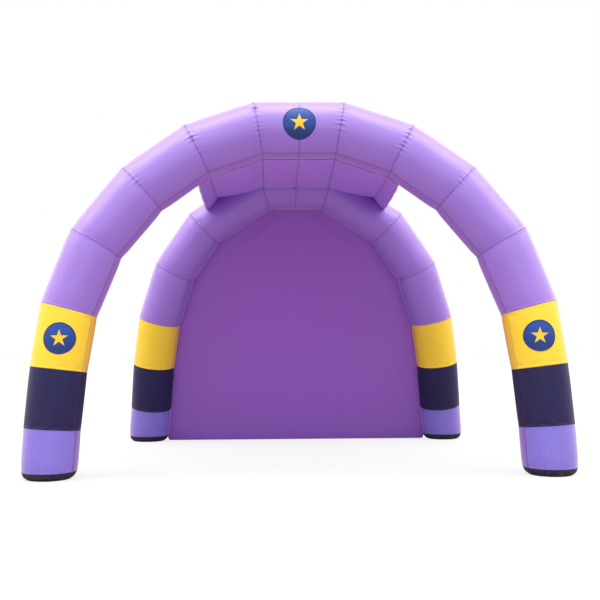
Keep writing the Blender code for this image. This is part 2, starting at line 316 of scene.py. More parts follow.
@dataclass(frozen=True)
class BadgeFinish(ClothFinish):
    """Printed cloth badge: a blue ground painted lighter towards the top as a painted highlight, a plain yellow star
    and a stitched hem.
    """

    star: tuple[float, float, float] = (0.94, 0.62, 0.012)
    hem: tuple[float, float, float] = (0.010, 0.028, 0.16)
    star_reach: float = 0.56
    star_waist: float = 0.385
    points: int = 5

    def colours(self, nodes: Nodes, use: bpy.types.Node, crease: object, stitch: object) -> bpy.types.NodeSocket:
        """Layer the ground with its painted highlight and shade, the star, the hem and the thread."""
        disc = nodes.add("ShaderNodeSeparateXYZ", {"Vector": nodes.add("ShaderNodeUVMap", uv_map="disc").outputs[0]})
        # Painted highlight and shade: the blue ground grows lighter towards the top and darker towards the bottom.
        broad = nodes.ramp(disc.outputs["Y"], -0.9, 0.9)
        colour = nodes.blend(broad, (*self.mottle_and_painted_shade, 1.0), (*self.colour, 1.0))
        colour = nodes.blend(self.star_share(nodes, disc), colour, (*self.star, 1.0))
        colour = nodes.blend(nodes.attribute("soffit"), colour, (*self.hem, 1.0))
        fine = nodes.ramp(use.outputs["Fine"], 0.35, 0.7, 0.0, self.mottle)
        colour = nodes.blend(fine, colour, (*self.mottle_and_painted_shade, 1.0))
        return nodes.blend(nodes.math("MULTIPLY", stitch, 0.8), colour, (*self.thread, 1.0))

    def star_share(self, nodes: Nodes, disc: bpy.types.Node) -> bpy.types.NodeSocket:
        """Share of the star at a point of the disc, whose radius is 1.

        Args:
            nodes: The material's nodes.
            disc: Node with the point's X and Y.

        Returns:
            1 inside the star and 0 outside it.
        """
        across, up = disc.outputs["X"], disc.outputs["Y"]
        sector = 2 * math.pi / self.points
        turn = nodes.math("DIVIDE", nodes.math("ARCTAN2", across, up), sector)
        off = nodes.math("MULTIPLY", nodes.math("ABSOLUTE", nodes.math("SUBTRACT", turn, nodes.math("ROUND", turn))), sector)
        squares = nodes.math("ADD", nodes.math("POWER", across, 2.0), nodes.math("POWER", up, 2.0))
        reach = nodes.math("SQRT", squares)
        tip = Vector((self.star_reach, 0.0))
        waist = Vector((math.cos(sector / 2), math.sin(sector / 2))) * self.star_reach * self.star_waist
        edge = (waist - tip).normalized()
        outward = Vector((-edge.y, edge.x))
        outward *= math.copysign(1.0, outward.dot(tip))
        ahead = nodes.math("MULTIPLY", nodes.math("MULTIPLY", reach, nodes.math("COSINE", off)), outward.x)
        beside = nodes.math("MULTIPLY", nodes.math("MULTIPLY", reach, nodes.math("SINE", off)), outward.y)
        beyond = nodes.math("SUBTRACT", nodes.math("ADD", ahead, beside), outward.dot(tip))
        return nodes.ramp(beyond, -0.006, 0.006, 1.0, 0.0)


class Cloth(Enum):
    """The cloths that the object is sewn from."""

    LILAC = ClothFinish("lilac_cloth", (0.295, 0.145, 0.63), (0.14, 0.040, 0.33), (0.28, 0.10, 0.58), (0.27, 0.12, 0.57))
    # The foot bands share the lilac slot, but are coloured bluer and with less red than the other lilac lengths.
    FOOT = ClothFinish("foot_cloth", (0.185, 0.125, 0.62), (0.09, 0.03, 0.30), (0.20, 0.08, 0.48), (0.18, 0.11, 0.55))
    ROOF = ClothFinish("roof_cloth", (0.42, 0.200, 0.86), (0.20, 0.070, 0.44), (0.30, 0.11, 0.58), (0.36, 0.16, 0.76),
                       sheen=0.15, coat=0.4)
    NAVY = ClothFinish("navy_cloth", (0.018, 0.014, 0.070), (0.006, 0.005, 0.025), (0.016, 0.010, 0.05),
                       (0.04, 0.035, 0.12), sheen=0.07, sheen_tint=(0.7, 0.7, 1.0), coat=0.0, shine=0.2, dust=0.01)
    YELLOW = ClothFinish("yellow_cloth", (0.96, 0.65, 0.025), (0.70, 0.38, 0.012), (0.88, 0.50, 0.02),
                         (0.95, 0.75, 0.25), sheen=0.08, sheen_tint=(1.0, 0.95, 0.7), coat=0.65, shine=0.2, mottle=0.06, dust=0.02)
    PAD = ClothFinish("pad_vinyl", (0.012, 0.009, 0.026), (0.004, 0.003, 0.010), (0.010, 0.008, 0.02),
                      (0.04, 0.035, 0.06), roughness=0.55, sheen=0.0, coat=0.1, shine=0.25, pitch=0.004, weave=0.5, dust=0.08)
    WALL = ClothFinish("wall_cloth", (0.31, 0.120, 0.54), (0.27, 0.10, 0.47), (0.27, 0.10, 0.47),
                       (0.27, 0.11, 0.50), roughness=0.75, sheen=0.05, coat=0.0, shine=0.3, mottle=0.10, dust=0.03)
    BADGE = BadgeFinish("badge_cloth", (0.022, 0.075, 0.36), (0.010, 0.030, 0.17), (0.02, 0.06, 0.3),
                        (0.55, 0.60, 0.75), roughness=0.36, sheen=0.03, coat=0.12, shine=0.25, mottle=0.15, dust=0.0)

    @property
    def slot(self) -> str:
        """The record's material slot that the cloth belongs to."""
        return "lilac" if self is Cloth.FOOT else self.name.lower()


def dress(piece: bpy.types.Object, material: bpy.types.Material, node: str) -> None:
    """Give a finished piece its finish and its body, and hide the solid that it stands for.

    Args:
        piece: The finished piece.
        material: The cloth's material.
        node: The solid that it replaces.
    """
    piece.data.materials.clear()
    piece.data.materials.append(material)
    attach(piece, "root")
    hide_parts(node)


# Mesh helpers


def pick(*pieces: bpy.types.Object) -> None:
    """Select only these objects, the first of them active."""
    bpy.ops.object.select_all(action="DESELECT")
    for piece in pieces:
        piece.select_set(True)
    bpy.context.view_layer.objects.active = pieces[0]


def add_piece(name: str, points: np.ndarray, faces: list[tuple[int, ...]]) -> bpy.types.Object:
    """New object from points and faces, in the row frame."""
    mesh = bpy.data.meshes.new(name)
    mesh.from_pydata(points.reshape(-1, 3).tolist(), [], faces)
    piece = bpy.data.objects.new(name, mesh)
    bpy.context.scene.collection.objects.link(piece)
    return piece


def grid_faces(rows: int, columns: int, closed: bool) -> list[tuple[int, ...]]:
    """Quads of a grid of points, row after row.

    Args:
        rows: Number of rows.
        columns: Points in a row.
        closed: Whether the last column joins the first.

    Returns:
        The quads, as places in the list of points.
    """
    quads = []
    for row in range(rows - 1):
        for k in range(columns if closed else columns - 1):
            nearby = (k + 1) % columns
            quads.append((row * columns + k, row * columns + nearby, (row + 1) * columns + nearby, (row + 1) * columns + k))
    return quads


def get_points(mesh: bpy.types.Mesh) -> np.ndarray:
    """Places of a mesh's points."""
    flat = np.zeros(len(mesh.vertices) * 3, np.float32)
    mesh.vertices.foreach_get("co", flat)
    return flat.reshape(-1, 3).astype(float)


def set_points(mesh: bpy.types.Mesh, points: np.ndarray) -> None:
    """Move a mesh's points, rounded to a hundredth of a millimetre."""
    mesh.vertices.foreach_set("co", np.round(points, 5).astype(np.float32).ravel())
    mesh.update()


def get_number(mesh: bpy.types.Mesh, name: str) -> np.ndarray:
    """An attribute's number at each point."""
    values = np.zeros(len(mesh.vertices), np.float32)
    mesh.attributes[name].data.foreach_get("value", values)
    return values.astype(float)


def set_number(mesh: bpy.types.Mesh, name: str, values: np.ndarray) -> None:
    """Store a number at each point."""
    layer = mesh.attributes.get(name) or mesh.attributes.new(name, "FLOAT", "POINT")
    layer.data.foreach_set("value", np.asarray(values, np.float32).ravel())


def set_uv(mesh: bpy.types.Mesh, name: str, places: np.ndarray) -> None:
    """Store a UV map from a place for each face corner."""
    layer = mesh.uv_layers.new(name=name)
    layer.data.foreach_set("uv", np.asarray(places, np.float32).ravel())


def finish_form(piece: bpy.types.Object, crease_angle: float = 50.0) -> None:
    """Make the normals point outwards and shade the piece smooth except along its rims."""
    pick(piece)
    bpy.ops.object.mode_set(mode="EDIT")
    bpy.ops.mesh.select_all(action="SELECT")
    bpy.ops.mesh.normals_make_consistent(inside=False)
    bpy.ops.object.mode_set(mode="OBJECT")
    bpy.ops.object.shade_smooth_by_angle(angle=math.radians(crease_angle))


def refine(piece: bpy.types.Object, crease: float | None = None) -> None:
    """Subdivide a piece once and keep the result."""
    pick(piece)
    step = piece.modifiers.new("finer", "SUBSURF")
    step.levels = step.render_levels = 1
    if crease is not None:
        step.use_creases = True
    bpy.ops.object.modifier_apply(modifier=step.name)


def close_ends(piece: bpy.types.Object) -> None:
    """Close the open ends of a tube."""
    pick(piece)
    bpy.ops.object.mode_set(mode="EDIT")
    bpy.ops.mesh.select_all(action="SELECT")
    bpy.ops.mesh.fill_holes(sides=0)
    bpy.ops.object.mode_set(mode="OBJECT")


# Inflating by cloth simulation


@dataclass
class Inflation:
    """Blows up open or closed cloth shapes together, held along their seams."""

    pressure: float = 4.0
    slack: float = 0.008
    frames: int = 14
    jobs: list[tuple[bpy.types.Object, np.ndarray, float]] = field(default_factory=list)

    def add(self, piece: bpy.types.Object, held: np.ndarray, cap: float) -> None:
        """Get a piece ready.

        Args:
            piece: The cloth shape.
            held: Share from 0 to 1 to which each point is held in its place.
            cap: Furthest that a point may move.
        """
        group = piece.vertex_groups.new(name="held")
        for share in np.unique(held):
            if share > 0:
                group.add(np.nonzero(held == share)[0].tolist(), float(share), "REPLACE")
        cloth = piece.modifiers.new("inflate", "CLOTH")
        settings = cloth.settings
        settings.quality = 4
        settings.mass = 0.4
        settings.tension_stiffness = settings.compression_stiffness = 40.0
        settings.shear_stiffness = 20.0
        settings.bending_stiffness = 6.0
        settings.tension_damping = settings.compression_damping = settings.shear_damping = 25.0
        settings.air_damping = 2.0
        settings.use_pressure = True
        settings.uniform_pressure_force = self.pressure
        settings.vertex_group_mass = group.name
        settings.shrink_min = -self.slack
        settings.effector_weights.gravity = 0.0
        cloth.collision_settings.use_collision = False
        self.jobs.append((piece, get_points(piece.data), cap))

    def run(self) -> None:
        """Step the simulation, keep its shapes, and cap how far each point moved."""
        scene = bpy.context.scene
        for number in range(1, self.frames + 1):
            scene.frame_set(number)
        for piece, start, cap in self.jobs:
            pick(piece)
            bpy.ops.object.modifier_apply(modifier="inflate")
            piece.vertex_groups.clear()
            moved = get_points(piece.data) - start
            size = np.maximum(np.linalg.norm(moved, axis=1), 1e-9)[:, None]
            set_points(piece.data, start + moved * (cap * np.tanh(size / cap) / size))
        scene.frame_set(1)
        LOG.info("inflated %d shapes", len(self.jobs))
        self.jobs.clear()


# The tubes


@dataclass(frozen=True)
class Section:
    """Cross-section of a tube: round, with a soffit strip drawn in between two long seams.

    Angles run from the tube's front, by the doorway side, round to its back.
    """

    strip_middle: float = math.radians(90.0)
    strip_half: float = math.radians(22.0)
    strip_steps: int = 12
    round_steps: int = 84
    strip_flat: float = 0.035
    seam_draw: float = 0.015
    seam_reach: float = math.radians(20.0)

    def angles(self) -> np.ndarray:
        """Angles of one ring's points, across the strip and then round the rest."""
        start, end = self.strip_middle - self.strip_half, self.strip_middle + self.strip_half
        strip = np.linspace(start, end, self.strip_steps, endpoint=False)
        rest = np.linspace(end, start + 2 * math.pi, self.round_steps, endpoint=False)
        return np.concatenate([strip, rest])

    def off_strip(self, angles: np.ndarray) -> np.ndarray:
        """Angle from the strip's middle, either way round."""
        return np.abs((angles - self.strip_middle + math.pi) % (2 * math.pi) - math.pi)

    def share(self, angles: np.ndarray) -> np.ndarray:
        """Share of the tube's radius at each angle."""
        off = self.off_strip(angles)
        inside = 1.0 - self.strip_flat + (self.strip_flat - self.seam_draw) * (off / self.strip_half) ** 2
        outside = 1.0 - self.seam_draw * np.maximum(0.0, 1.0 - (off - self.strip_half) / self.seam_reach) ** 2
        return np.where(off <= self.strip_half, inside, outside)


@dataclass(frozen=True)
class LengthRow:
    """One straight length of a leg, with the tube's radius and the draw of the seam at its upper end."""

    name: str
    cloth: Cloth
    size: float
    slope: float
    radius: float
    draw: float
    pucker: float


@dataclass(frozen=True)
class PadRow:
    """A height of the foot pad, and its share of the tube's radius there."""

    height: float
    share: float


SECTION = Section()
PAD_ROWS = (PadRow(0.0, 0.77), PadRow(0.035, 0.89), PadRow(0.10, 0.968))
PAD_HEIGHT = PAD_ROWS[-1].height
FRONT_ROWS = (
    LengthRow("foot_band", Cloth.FOOT, 0.68, 87.6, 0.394, 0.003, 0.0010),
    LengthRow("navy_band", Cloth.NAVY, 0.83, 85.3, 0.401, 0.003, 0.0010),
    LengthRow("yellow_band", Cloth.YELLOW, 0.85, 81.7, 0.409, 0.006, 0.0018),
    LengthRow("panel_1", Cloth.LILAC, 1.02, 69.0, 0.419, 0.012, 0.0030),
    LengthRow("panel_2", Cloth.LILAC, 1.02, 51.0, 0.427, 0.012, 0.0100),
    LengthRow("panel_3", Cloth.LILAC, 0.975, 35.7, 0.422, 0.012, 0.0170),
    LengthRow("panel_4", Cloth.LILAC, 0.94, 18.9, 0.418, 0.012, 0.0165),
)
REAR_ROWS = (
    LengthRow("foot_band", Cloth.FOOT, 0.68, 84.5, 0.391, 0.003, 0.0010),
    LengthRow("navy_band", Cloth.NAVY, 0.84, 84.8, 0.396, 0.003, 0.0010),
    LengthRow("yellow_band", Cloth.YELLOW, 0.87, 81.5, 0.401, 0.006, 0.0018),
    LengthRow("panel_1", Cloth.LILAC, 1.01, 71.5, 0.401, 0.012, 0.0030),
    LengthRow("panel_2", Cloth.LILAC, 1.005, 54.9, 0.395, 0.012, 0.0075),
    LengthRow("panel_3", Cloth.LILAC, 1.33, 32.7, 0.390, 0.012, 0.0012),
)


@dataclass
class Puckers:
    """Small gathers in the cloth along one cross seam, the same on both its sides."""

    seed: int
    height: float
    waves: tuple[float, ...] = (29.0, 35.0, 41.0, 50.0)
    reach: float = 0.052
    pinch: float = 0.010

    def __post_init__(self) -> None:
        """Draw the waves' phases and where along the seam they're strongest."""
        rng = random.Random(self.seed)
        self.phases = [rng.uniform(0, 2 * math.pi) for _ in self.waves]
        self.patches = [(rng.choice((2, 3, 5)), rng.uniform(0, 2 * math.pi)) for _ in range(2)]

    def lift(self, angles: np.ndarray, off: np.ndarray) -> np.ndarray:
        """How far the cloth stands out.

        Args:
            angles: Angles of the points in the tube's section.
            off: Distances from the seam.

        Returns:
            Distances outwards, in metres.
        """
        wave = sum(np.cos(count * angles + phase) for count, phase in zip(self.waves, self.phases)) / 2.2
        patch = 0.70 + 0.30 * sum(np.cos(count * angles + phase) for count, phase in self.patches) / 2
        outer = np.clip(0.35 + 0.65 * np.cos(angles + math.radians(55.0)), 0.03, 1.0)
        fade = np.exp(-((off / self.reach) ** 1.4)) * (0.3 + 0.7 * np.minimum(1.0, off / self.pinch))
        return self.height * wave * patch * outer * fade


@dataclass
class Arch:
    """A leaning row of air-filled lengths of tube on two foot pads, mirrored about x = 0."""

    name: str
    rows: tuple[LengthRow, ...]
    lean: float
    middle_radius: float
    seed: int
    crown_half: float = 0.595
    middle_draw: float = 0.004
    middle_pucker: float = 0.0012
    draw_reach: float = 0.22
    crease_depth: float = 0.0022
    near_seam: tuple[float, ...] = (0.0, 0.012, 0.026, 0.045, 0.07, 0.10, 0.14, 0.185)
    ring_pitch: float = 0.052
    cap: float = 0.016
    taut: float = 0.0055
    pad_draw: float = FOOT_RADIUS * (1.0 - PAD_ROWS[-1].share)
    feet_y: float = 0.0
    shapes: dict[int, bpy.types.Object] = field(default_factory=dict)

    def __post_init__(self) -> None:
        """Work out the bent centre line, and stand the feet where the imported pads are."""
        self.up = np.array((0.0, math.sin(self.lean), math.cos(self.lean)))
        self.front = np.array((0.0, -math.cos(self.lean), math.sin(self.lean)))
        across, down = self.crown_half, 0.0
        right = [(across, down)]
        for row in reversed(self.rows):
            across += row.size * math.cos(math.radians(row.slope))
            down += row.size * math.sin(math.radians(row.slope))
            right.append((across, down))
        right = [(x, down - y) for x, y in right]
        left = [(-x, y) for x, y in reversed(right)]
        self.stations = np.array(left + [(0.0, down)] + right)
        side = [FOOT_RADIUS] + [row.radius for row in self.rows]
        self.radii = side + [self.middle_radius] + side[::-1]
        side = [self.pad_draw] + [row.draw for row in self.rows]
        self.draws = side + [self.middle_draw] + side[::-1]
        heights = [0.0008] + [row.pucker for row in self.rows]
        heights = heights + [self.middle_pucker] + heights[::-1]
        self.puckers = [Puckers(self.seed + k, height) for k, height in enumerate(heights)]
        law = self.pad_points(False)
        self.feet_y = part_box(f"{self.name}_left_foot_pad")[0].y - law[..., 1].min()

    @property
    def count(self) -> int:
        """Number of lengths from foot to foot."""
        return len(self.stations) - 1

    def nodes(self) -> list[tuple[str, Cloth]]:
        """Solid and cloth of each length, from the left foot to the right."""
        rows = [(row.name, row.cloth) for row in self.rows] + [("crown", Cloth.LILAC)]
        left = [(f"{self.name}_left_{name}", cloth) for name, cloth in rows]
        return left + [(f"{self.name}_right_{name}", cloth) for name, cloth in reversed(rows)]

    def size(self, index: int) -> float:
        """Length of the centre line from one station to the next."""
        return float(np.linalg.norm(self.stations[index + 1] - self.stations[index]))

    def direction(self, index: int) -> tuple[np.ndarray, np.ndarray]:
        """Unit direction of a length, and the direction in to the doorway, in the arch's plane."""
        run = (self.stations[index + 1] - self.stations[index]) / self.size(index)
        return run, np.array((run[1], -run[0]))

    def half_turn(self, station: int) -> float:
        """Tangent of half the bend at a station, and none at the feet."""
        if station in (0, self.count):
            return 0.0
        before, _ = self.direction(station - 1)
        after, _ = self.direction(station)
        return math.tan(math.atan2(after[0] * before[1] - after[1] * before[0], before @ after) / 2)

    def plane_y(self, height: np.ndarray | float) -> np.ndarray | float:
        """World y of the arch's plane at a height."""
        return self.feet_y + height * math.tan(self.lean)

    def world(self, plane: np.ndarray, forward: np.ndarray) -> np.ndarray:
        """World points from points of the arch's plane and their distances in front of it."""
        across = np.zeros(plane.shape[:-1] + (3,))
        across[..., 0] = plane[..., 0]
        across[..., 1] = self.feet_y
        return across + plane[..., 1:2] * self.up + forward[..., None] * self.front

    def floor_run(self, index: int, station: int, forward: np.ndarray, inward: np.ndarray, height: float) -> np.ndarray:
        """Distance along a length from its station to a level plane, for points beside its axis."""
        run, side = self.direction(index)
        level = (height - self.front[2] * forward) / self.up[2]
        return (level - self.stations[station][1] - side[1] * inward) / run[1]

    def ends(self, index: int, forward: np.ndarray, inward: np.ndarray) -> tuple[np.ndarray, np.ndarray]:
        """Where a length starts and stops, for points beside its axis."""
        size = self.size(index)
        start = inward * self.half_turn(index) + GAP / 2
        stop = size - inward * self.half_turn(index + 1) - GAP / 2
        if index == 0:
            start = self.floor_run(index, index, forward, inward, PAD_HEIGHT + GAP)
        if index == self.count - 1:
            stop = size + self.floor_run(index, index + 1, forward, inward, PAD_HEIGHT + GAP)
        return start, stop

    def radius(self, index: int, along: np.ndarray) -> np.ndarray:
        """Radius of a length at distances along its axis, drawn in near both seams."""
        near = np.maximum(0.0, 1.0 - along / self.draw_reach) ** 2 * self.draws[index]
        far = np.maximum(0.0, 1.0 - (self.size(index) - along) / self.draw_reach) ** 2 * self.draws[index + 1]
        return np.interp(along, (0.0, self.size(index)), self.radii[index:index + 2]) - near - far

    def steps(self, index: int) -> np.ndarray:
        """Distances along a length at which it has a ring, closer near its seams."""
        size = self.size(index)
        near = np.array(self.near_seam)
        count = max(2, round((size - 2 * near[-1]) / self.ring_pitch))
        middle = np.linspace(near[-1], size - near[-1], count, endpoint=False)[1:]
        return np.concatenate([near, middle, size - near[::-1]])

    def length_grid(self, index: int, along: np.ndarray, angles: np.ndarray, lift: float = 0.0) -> tuple[np.ndarray, np.ndarray]:
        """Surface of a length.

        Args:
            index: Its place from the left foot.
            along: Distances along its axis, one for each ring.
            angles: Angles of a ring's points.
            lift: Distance outwards from the surface.

        Returns:
            World points, and each one's distances from the length's start and stop.
        """
        radius = self.radius(index, along)[:, None] * SECTION.share(angles)[None, :] + lift
        forward, inward = radius * np.cos(angles), radius * np.sin(angles)
        start, stop = self.ends(index, forward, inward)
        run, side = self.direction(index)
        distance = start + (stop - start) * (along / self.size(index))[:, None]
        plane = self.stations[index] + run * distance[..., None] + side * inward[..., None]
        return self.world(plane, forward), np.stack([distance - start, stop - distance])

    def pad_points(self, right: bool, heights: tuple[float, ...] = (0.0, PAD_HEIGHT)) -> np.ndarray:
        """Rings of a foot pad at heights from the floor up."""
        index = self.count - 1 if right else 0
        station = self.count if right else 0
        run, side = self.direction(index)
        angles = SECTION.angles()
        levels, shares = zip(*((row.height, row.share) for row in PAD_ROWS))
        rings = []
        for height in heights:
            radius = FOOT_RADIUS * np.interp(height, levels, shares) * SECTION.share(angles)
            forward, inward = radius * np.cos(angles), radius * np.sin(angles)
            travel = self.floor_run(index, station, forward, inward, height)
            plane = self.stations[station] + run * travel[:, None] + side * inward[:, None]
            rings.append(self.world(plane, forward))
        return np.array(rings)

    def build_length(self, index: int, inflation: Inflation) -> bpy.types.Object:
        """Open tube of one length, ready to be inflated."""
        node, _ = self.nodes()[index]
        along, angles = self.steps(index), SECTION.angles()
        points, off = self.length_grid(index, along, angles)
        lifted, _ = self.length_grid(index, along, angles, lift=0.01)
        rows, columns = points.shape[:2]
        piece = add_piece(f"{node}_cloth", points, grid_faces(rows, columns, True))
        mesh = piece.data
        outward = (lifted - points) / 0.01
        turned = np.broadcast_to(angles, (rows, columns))
        strip = np.abs(SECTION.off_strip(turned) - SECTION.strip_half) * self.radii[index]
        numbers = {"off_start": off[0], "off_stop": off[1], "off_long_seam": strip,
                   "ring_cos": np.cos(turned), "ring_sin": np.sin(turned), "outward_x": outward[..., 0],
                   "outward_y": outward[..., 1], "outward_z": outward[..., 2]}
        for title, values in numbers.items():
            set_number(mesh, title, values)
        set_uv(mesh, "cloth", self.cloth_places(rows, columns, angles, along, index))
        held = np.zeros((rows, columns))
        held[[0, -1]] = 1.0
        held[1:-1] = np.where(strip[1:-1] < 0.002, 0.85, 0.0)
        inflation.add(piece, held.ravel(), self.cap)
        self.shapes[index] = piece
        return piece

    def cloth_places(self, rows: int, columns: int, angles: np.ndarray, along: np.ndarray, index: int) -> np.ndarray:
        """Place on the flat cloth of each corner of each quad, in metres round and along the arch."""
        begin = sum(self.size(k) for k in range(index))
        round_way = np.append(angles, angles[0] + 2 * math.pi) * self.radii[index]
        row, column = np.divmod(np.arange((rows - 1) * columns), columns)
        corners = [(column, row), (column + 1, row), (column + 1, row + 1), (column, row + 1)]
        return np.stack([np.stack([round_way[c], begin + along[r]], axis=-1) for c, r in corners], axis=1)

    def finish_length(self, index: int) -> bpy.types.Object:
        """Refine an inflated length, then sew its seams: puckers, creases and closed ends."""
        piece = self.shapes[index]
        refine(piece)
        mesh = piece.data
        angles = np.arctan2(get_number(mesh, "ring_sin"), get_number(mesh, "ring_cos"))
        start, stop = (np.maximum(0.0, get_number(mesh, f"off_{end}")) for end in ("start", "stop"))
        lift = self.puckers[index].lift(angles, start) + self.puckers[index + 1].lift(angles, stop)
        ring_seam, long_seam = np.minimum(start, stop), get_number(mesh, "off_long_seam")
        crease = np.exp(-((ring_seam / 0.011) ** 2)) + np.exp(-((long_seam / 0.013) ** 2))
        lift -= self.crease_depth * np.minimum(1.0, crease) + self.taut * (1.0 - np.exp(-ring_seam / 0.012))
        outward = np.stack([get_number(mesh, f"outward_{axis}") for axis in "xyz"], axis=1)
        set_points(mesh, get_points(mesh) + outward * lift[:, None])
        set_number(mesh, "off_ring_seam", ring_seam)
        inside = (SECTION.off_strip(angles) - SECTION.strip_half) * self.radii[index]
        # Share of the soffit strip, which the finishes paint darker and more magenta as painted shade of the underside.
        set_number(mesh, "soffit", np.clip(0.5 - inside / 0.012, 0.0, 1.0) * 0.85)
        for title in ("off_start", "off_stop", "ring_cos", "ring_sin", "outward_x", "outward_y", "outward_z"):
            mesh.attributes.remove(mesh.attributes[title])
        close_ends(piece)
        finish_form(piece)
        return piece

    def build_pad(self, right: bool) -> bpy.types.Object:
        """Dark coated foot pad with a rounded lower edge."""
        heights = (0.0, 0.003, 0.010, 0.020, 0.032, 0.046, 0.062, 0.078, 0.090, 0.097, 0.10)
        rings = self.pad_points(right, heights)
        centre = rings.mean(axis=(0, 1))
        rings[..., :2] += (rings[..., :2] - centre[:2]) * self.pad_swell(np.array(heights))[:, None, None]
        rows, columns = rings.shape[:2]
        node = f"{self.name}_{'right' if right else 'left'}_foot_pad"
        piece = add_piece(f"{node}_cloth", rings, grid_faces(rows, columns, True))
        mesh = piece.data
        angles = np.broadcast_to(SECTION.angles(), (rows, columns))
        off_top = PAD_HEIGHT - np.repeat(heights, columns)
        set_number(mesh, "off_ring_seam", off_top)
        set_number(mesh, "off_long_seam", np.abs(SECTION.off_strip(angles) - SECTION.strip_half) * FOOT_RADIUS)
        set_number(mesh, "soffit", np.zeros(rows * columns))
        set_uv(mesh, "cloth", self.cloth_places(rows, columns, SECTION.angles(), np.array(heights), 0))
        refine(piece)
        points = get_points(mesh)
        points[:, 2] = np.clip(points[:, 2], 0.0, PAD_HEIGHT)
        set_points(mesh, points)
        close_ends(piece)
        finish_form(piece, 40.0)
        return piece

    def pad_swell(self, heights: np.ndarray) -> np.ndarray:
        """Share by which the pad's side swells between its sewn top and its sole."""
        return 0.012 * np.sin(math.pi * np.clip(heights / PAD_HEIGHT, 0.0, 1.0))

    def inner_line(self) -> tuple[np.ndarray, list[float]]:
        """The middle of the left half's soffit strip in the arch's plane.

        Returns:
            Points from the floor to the crown, and the rises at which the line bends.
        """
        middle = np.array([SECTION.strip_middle])
        inward = FOOT_RADIUS * PAD_ROWS[-1].share * SECTION.share(middle)[0] + GAP
        run, side = self.direction(0)
        line = [[self.stations[0] + run * self.floor_run(0, 0, 0.0, inward, 0.0) + side * inward]]
        for index in range(self.count // 2):
            radius = self.radius(index, self.steps(index)) * SECTION.share(middle)[0] + GAP
            zero = np.zeros(len(radius))
            start, stop = self.ends(index, zero, radius)
            run, side = self.direction(index)
            distance = start + (stop - start) * self.steps(index) / self.size(index)
            line.append(self.stations[index] + run * distance[:, None] + side * radius[:, None])
        return np.concatenate(line), [part[-1][1] for part in line[:-1]]


# The roof


@dataclass(frozen=True)
class RoofSeam:
    """A seam of the roof: where its underside meets the rear arch, and how thick each end is."""

    name: str
    rear_x: float
    rear_z: float
    front_depth: float
    rear_depth: float


@dataclass
class SeamLine:
    """A roof seam's place, underside and top, at the front arch and at the rear arch."""

    name: str
    x: tuple[float, float]
    y: tuple[float, float]
    low: tuple[float, float]
    high: tuple[float, float]

    def across(self, depth: np.ndarray) -> np.ndarray:
        """Distance from the middle at a depth."""
        share = (depth - self.y[0]) / (self.y[1] - self.y[0])
        return self.x[0] + (self.x[1] - self.x[0]) * share


